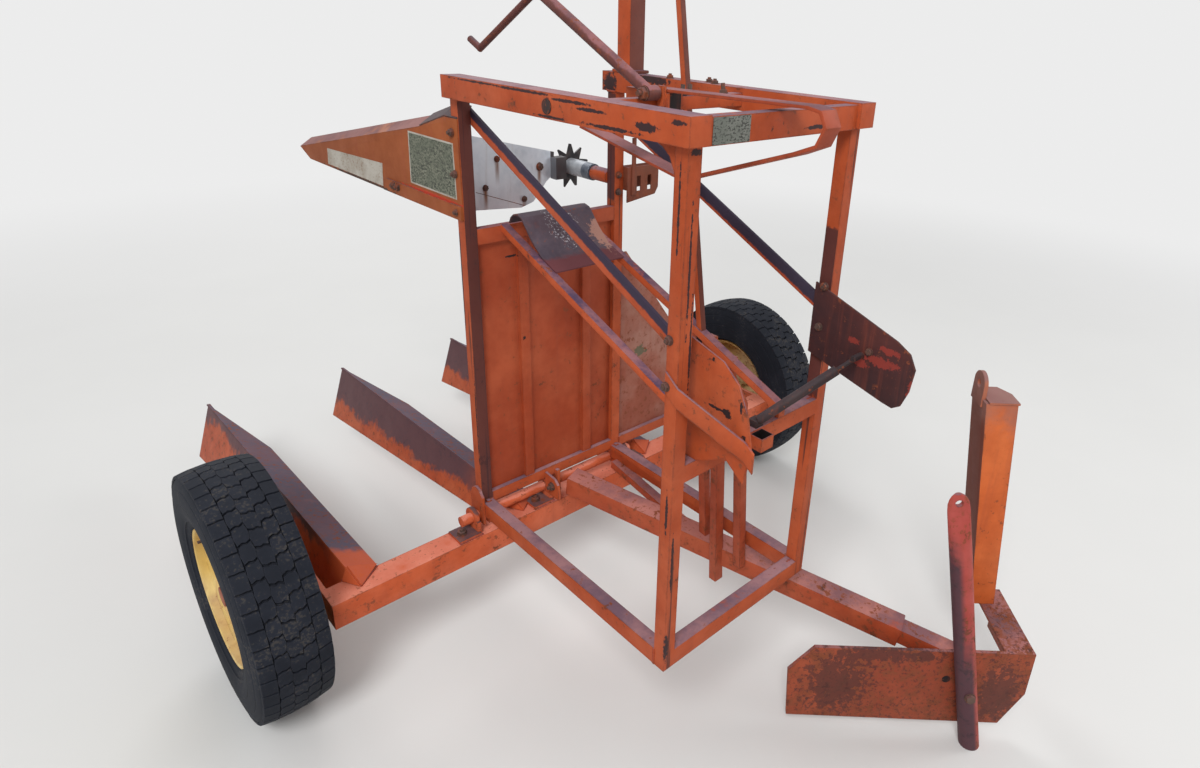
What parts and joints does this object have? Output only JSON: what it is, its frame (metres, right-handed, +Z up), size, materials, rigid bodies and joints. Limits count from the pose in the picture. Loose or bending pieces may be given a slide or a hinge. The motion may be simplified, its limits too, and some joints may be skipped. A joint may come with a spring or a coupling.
{
  "type": "bale stooker",
  "caption": "Towed bale stooker: upright tube frame with a sloping bale chute, pronged tilting axle, two road wheels, mast and offset drawbar hitch.",
  "frame": {"origin": "middle of the bounding box on the ground", "axes": "+X towards the far wheel (left hand of the direction of travel), +Y to the rear, +Z up"},
  "size_m": [2.084, 2.5158, 2.44],
  "materials": {
    "orange_paint": "faded, chipped",
    "worn_paint": "weathered to purple brown",
    "yellow_rim": "chalky",
    "tyre_rubber": "matt",
    "galvanised": "dull zinc",
    "dark_steel": "oily, rusted"
  },
  "bodies": {
    "tower": {"back_panel": "orange_paint", "chute_lip": "worn_paint", "chute_side": "orange_paint", "deflector": "galvanised", "drawbar": "orange_paint", "drawbar_brace": "orange_paint", "far_brace": "orange_paint", "far_chute_rail": "orange_paint", "far_hanger": "orange_paint", "fishtail_plate": "worn_paint", "hold_down_strap": "orange_paint", "mast": "orange_paint", "mast_strut": "orange_paint", "near_brace": "orange_paint", "near_chute_rail": "orange_paint", "near_hanger": "orange_paint", "pivot_shaft": "dark_steel", "rear_hanger": "orange_paint", "side_panel": "orange_paint", "side_tie": "orange_paint", "side_wing": "orange_paint", "star_bracket": "orange_paint", "strap_block": "orange_paint", "strut_barrel": "dark_steel", "strut_rod": "dark_steel", "tower_frame": "orange_paint", "trip_box": "worn_paint"},
    "axle": {"axle_beam": "orange_paint", "near_pivot_ear": "orange_paint", "middle_pivot_ear": "orange_paint", "far_pivot_ear": "orange_paint", "prong_1": "worn_paint", "prong_2": "worn_paint", "prong_3": "worn_paint", "prong_4": "worn_paint"},
    "near_wheel": {"near_tyre": "tyre_rubber", "near_rim": "yellow_rim", "near_hub_cap": "worn_paint"},
    "far_wheel": {"far_tyre": "tyre_rubber", "far_rim": "yellow_rim", "far_hub_cap": "worn_paint"},
    "counter": {"star_wheel": "dark_steel"},
    "lever": {"trip_lever": "orange_paint"},
    "hitch": {"inner_drawbar": "orange_paint", "hitch_frame": "worn_paint", "hitch_upright": "orange_paint"},
    "leg": {"prop_leg": "worn_paint"}
  },
  "joints": [
    {"name": "axle_tilt", "type": "hinge", "parent": "tower", "child": "axle", "pos_m": [0, 0.00475, 0.41], "axis": [1, 0, 0], "range_deg": [-6, 0]},
    {"name": "near_wheel_spin", "type": "hinge", "parent": "axle", "child": "near_wheel", "pos_m": [-0.95, 0.21475, 0.335], "axis": [1, 0, 0], "continuous": true},
    {"name": "far_wheel_spin", "type": "hinge", "parent": "axle", "child": "far_wheel", "pos_m": [0.95, 0.21475, 0.335], "axis": [1, 0, 0], "continuous": true},
    {"name": "counter_spin", "type": "hinge", "parent": "tower", "child": "counter", "pos_m": [0.078, 0.20575, 1.313], "axis": [0, 1, 0], "continuous": true},
    {"name": "lever_swing", "type": "hinge", "parent": "tower", "child": "lever", "pos_m": [-0.227, -0.46525, 1.596], "axis": [1, 0, 0], "range_deg": [0, 35]},
    {"name": "drawbar_slide", "type": "slide", "parent": "tower", "child": "hitch", "axis": [-0.3602, 0.9217, 0.1441], "range_m": [0, 0.06]},
    {"name": "leg_swing", "type": "hinge", "parent": "hitch", "child": "leg", "pos_m": [0.28932, -1.15941, 0.18549], "axis": [-0.698, -0.7161, 0], "range_deg": [-10, 70]}
  ]
}
